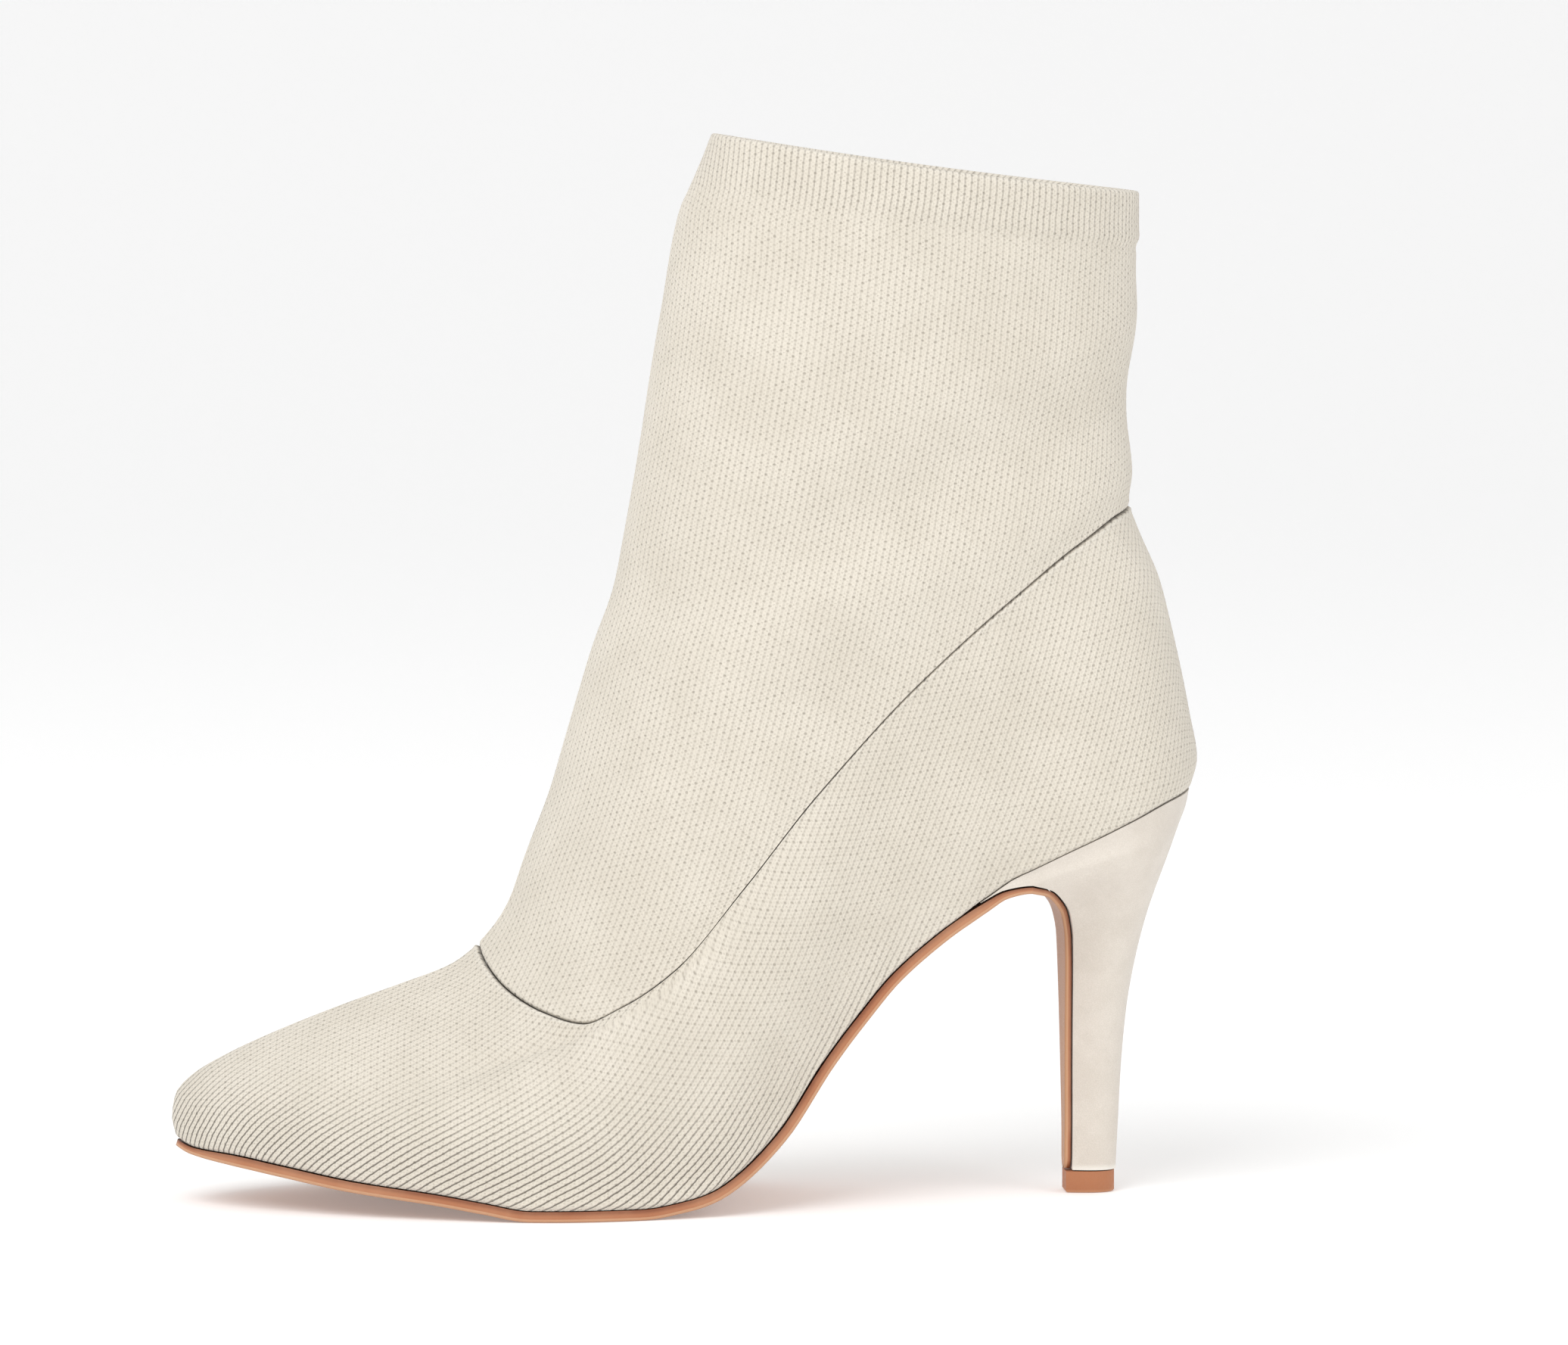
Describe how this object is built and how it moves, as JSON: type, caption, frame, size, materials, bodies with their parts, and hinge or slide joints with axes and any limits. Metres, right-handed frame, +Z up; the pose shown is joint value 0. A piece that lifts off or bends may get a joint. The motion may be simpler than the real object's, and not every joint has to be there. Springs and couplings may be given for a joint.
{
  "type": "sweater boot",
  "caption": "Pointed-toe ankle boot with a ribbed knit upper and shaft, a wrapped leather sole and a slim covered cone heel.",
  "frame": {"origin": "on the floor under the middle of the boot's box", "axes": "+Z up the shaft, -X to the toe, +X to the heel, -Y to the outer side, +Y to the inner side"},
  "size_m": [0.2282, 0.077, 0.2369],
  "materials": {
    "cream_knit": "deep ribbed knit, matte",
    "cream_knit_shaft": "fine double knit, matte",
    "tan_leather": "smooth, half matte",
    "cream_suede": "napped, matte",
    "tan_top_lift": "half matte",
    "cream_lining": "smooth, matte"
  },
  "bodies": {
    "root": {"upper": "cream_knit", "shaft": "cream_knit_shaft", "outsole": "tan_leather", "heel": "cream_suede", "top_lift": "tan_top_lift", "insole": "cream_lining"}
  },
  "joints": []
}
